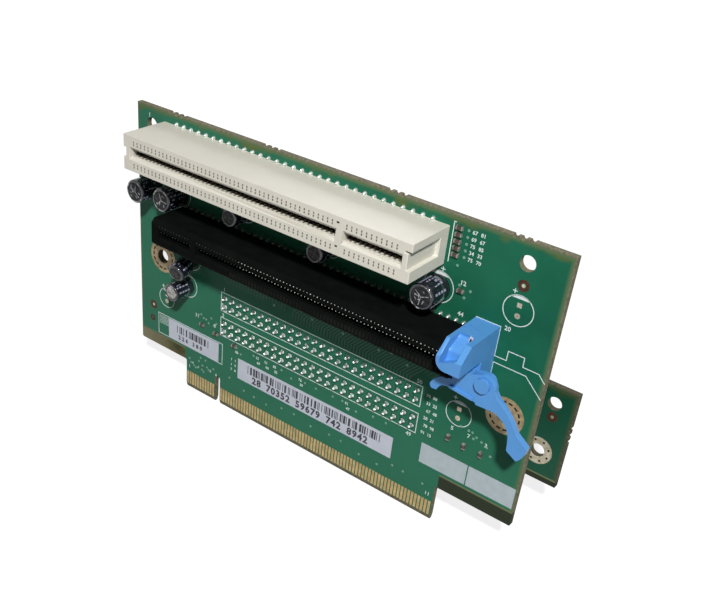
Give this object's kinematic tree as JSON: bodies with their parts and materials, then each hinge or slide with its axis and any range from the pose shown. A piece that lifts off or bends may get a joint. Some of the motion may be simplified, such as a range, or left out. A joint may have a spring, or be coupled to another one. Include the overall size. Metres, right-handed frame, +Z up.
{
  "type": "slot riser card",
  "caption": "Riser card for a slim computer: a keyed edge board linked to a second keyed edge board, with two expansion slots and a pivoting card latch.",
  "frame": {"origin": "middle of the main board's edge key notch, at the bottom of the edge and on the component face", "axes": "+X along the main board towards the latch end, +Z up away from the edge contacts, component side faces -Y"},
  "size_m": [0.1256, 0.0384, 0.0794],
  "materials": {
    "green_board": "green solder mask over glass laminate, satin",
    "gold_plating": "thin gold over nickel on copper",
    "tinned_copper": "tinned copper ring, dull",
    "label_paper": "white paper label",
    "white_nylon": "moulded ivory nylon, satin",
    "black_nylon": "moulded black nylon, satin",
    "contact_bronze": "gold flashed phosphor bronze",
    "blue_plastic": "moulded light blue plastic, soft gloss",
    "black_sleeve": "black shrink sleeve",
    "chip_ceramic": "fired ceramic, tan",
    "solder": "bright solder"
  },
  "bodies": {
    "riser": {"chip_capacitor_bodies": "chip_ceramic", "chip_capacitor_ends": "solder", "header_lower_insulator": "black_nylon", "header_lower_pins": "contact_bronze", "header_lower_socket": "black_nylon", "header_lower_solder": "solder", "header_upper_insulator": "black_nylon", "header_upper_pins": "contact_bronze", "header_upper_socket": "black_nylon", "header_upper_solder": "solder", "large_capacitors": "black_sleeve", "large_label": "label_paper", "latch_housing": "blue_plastic", "latch_pivot_pin": "blue_plastic", "link_board": "green_board", "link_edge_fingers_back": "gold_plating", "link_edge_fingers_front": "gold_plating", "link_ring_pad": "tinned_copper", "main_board": "green_board", "main_edge_fingers_back": "gold_plating", "main_edge_fingers_front": "gold_plating", "main_ring_pads": "tinned_copper", "pci_slot_contacts_lower": "contact_bronze", "pci_slot_contacts_upper": "contact_bronze", "pci_slot_housing": "white_nylon", "pcie_slot_contacts_lower": "contact_bronze", "pcie_slot_contacts_upper": "contact_bronze", "pcie_slot_housing": "black_nylon", "small_capacitors": "black_sleeve", "small_label": "label_paper", "socket_lower_solder": "solder", "socket_upper_solder": "solder"},
    "lever": {"latch_lever": "blue_plastic"}
  },
  "joints": [
    {"name": "latch_swing", "type": "hinge", "parent": "riser", "child": "lever", "pos_m": [0.0828, -0.0082, 0.04958], "axis": [0, -1, 0], "range_deg": [0, 20]}
  ]
}
